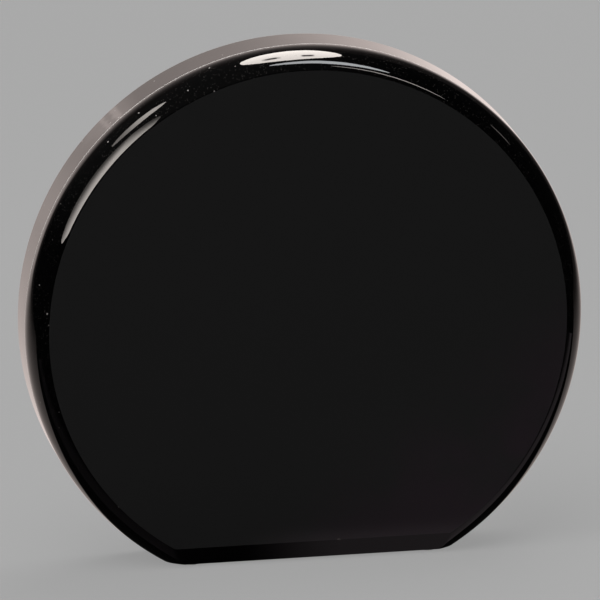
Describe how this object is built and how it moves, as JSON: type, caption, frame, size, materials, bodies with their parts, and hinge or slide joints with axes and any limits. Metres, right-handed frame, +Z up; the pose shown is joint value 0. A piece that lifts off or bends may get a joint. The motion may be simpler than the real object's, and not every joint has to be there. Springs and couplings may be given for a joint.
{
  "type": "standing glass disc",
  "caption": "Upright disc of polished black glass with a rounded front edge, bonded from two plates, standing on a flat-cut bevelled foot.",
  "frame": {"origin": "Centre of the bounding box's footprint, on the plane that the pads rest on.", "axes": "+Z up, +X across the face to the right as seen from the front, +Y from the face to the back."},
  "size_m": [0.152, 0.0222, 0.1413],
  "materials": {
    "front_glass": "polished",
    "back_glass": "polished",
    "adhesive_film": "gloss",
    "pad": "satin"
  },
  "bodies": {
    "root": {"front_plate": "front_glass", "bond_film": "adhesive_film", "back_plate": "back_glass", "pad_front_left": "pad", "pad_front_right": "pad", "pad_back_left": "pad", "pad_back_right": "pad"}
  },
  "joints": []
}
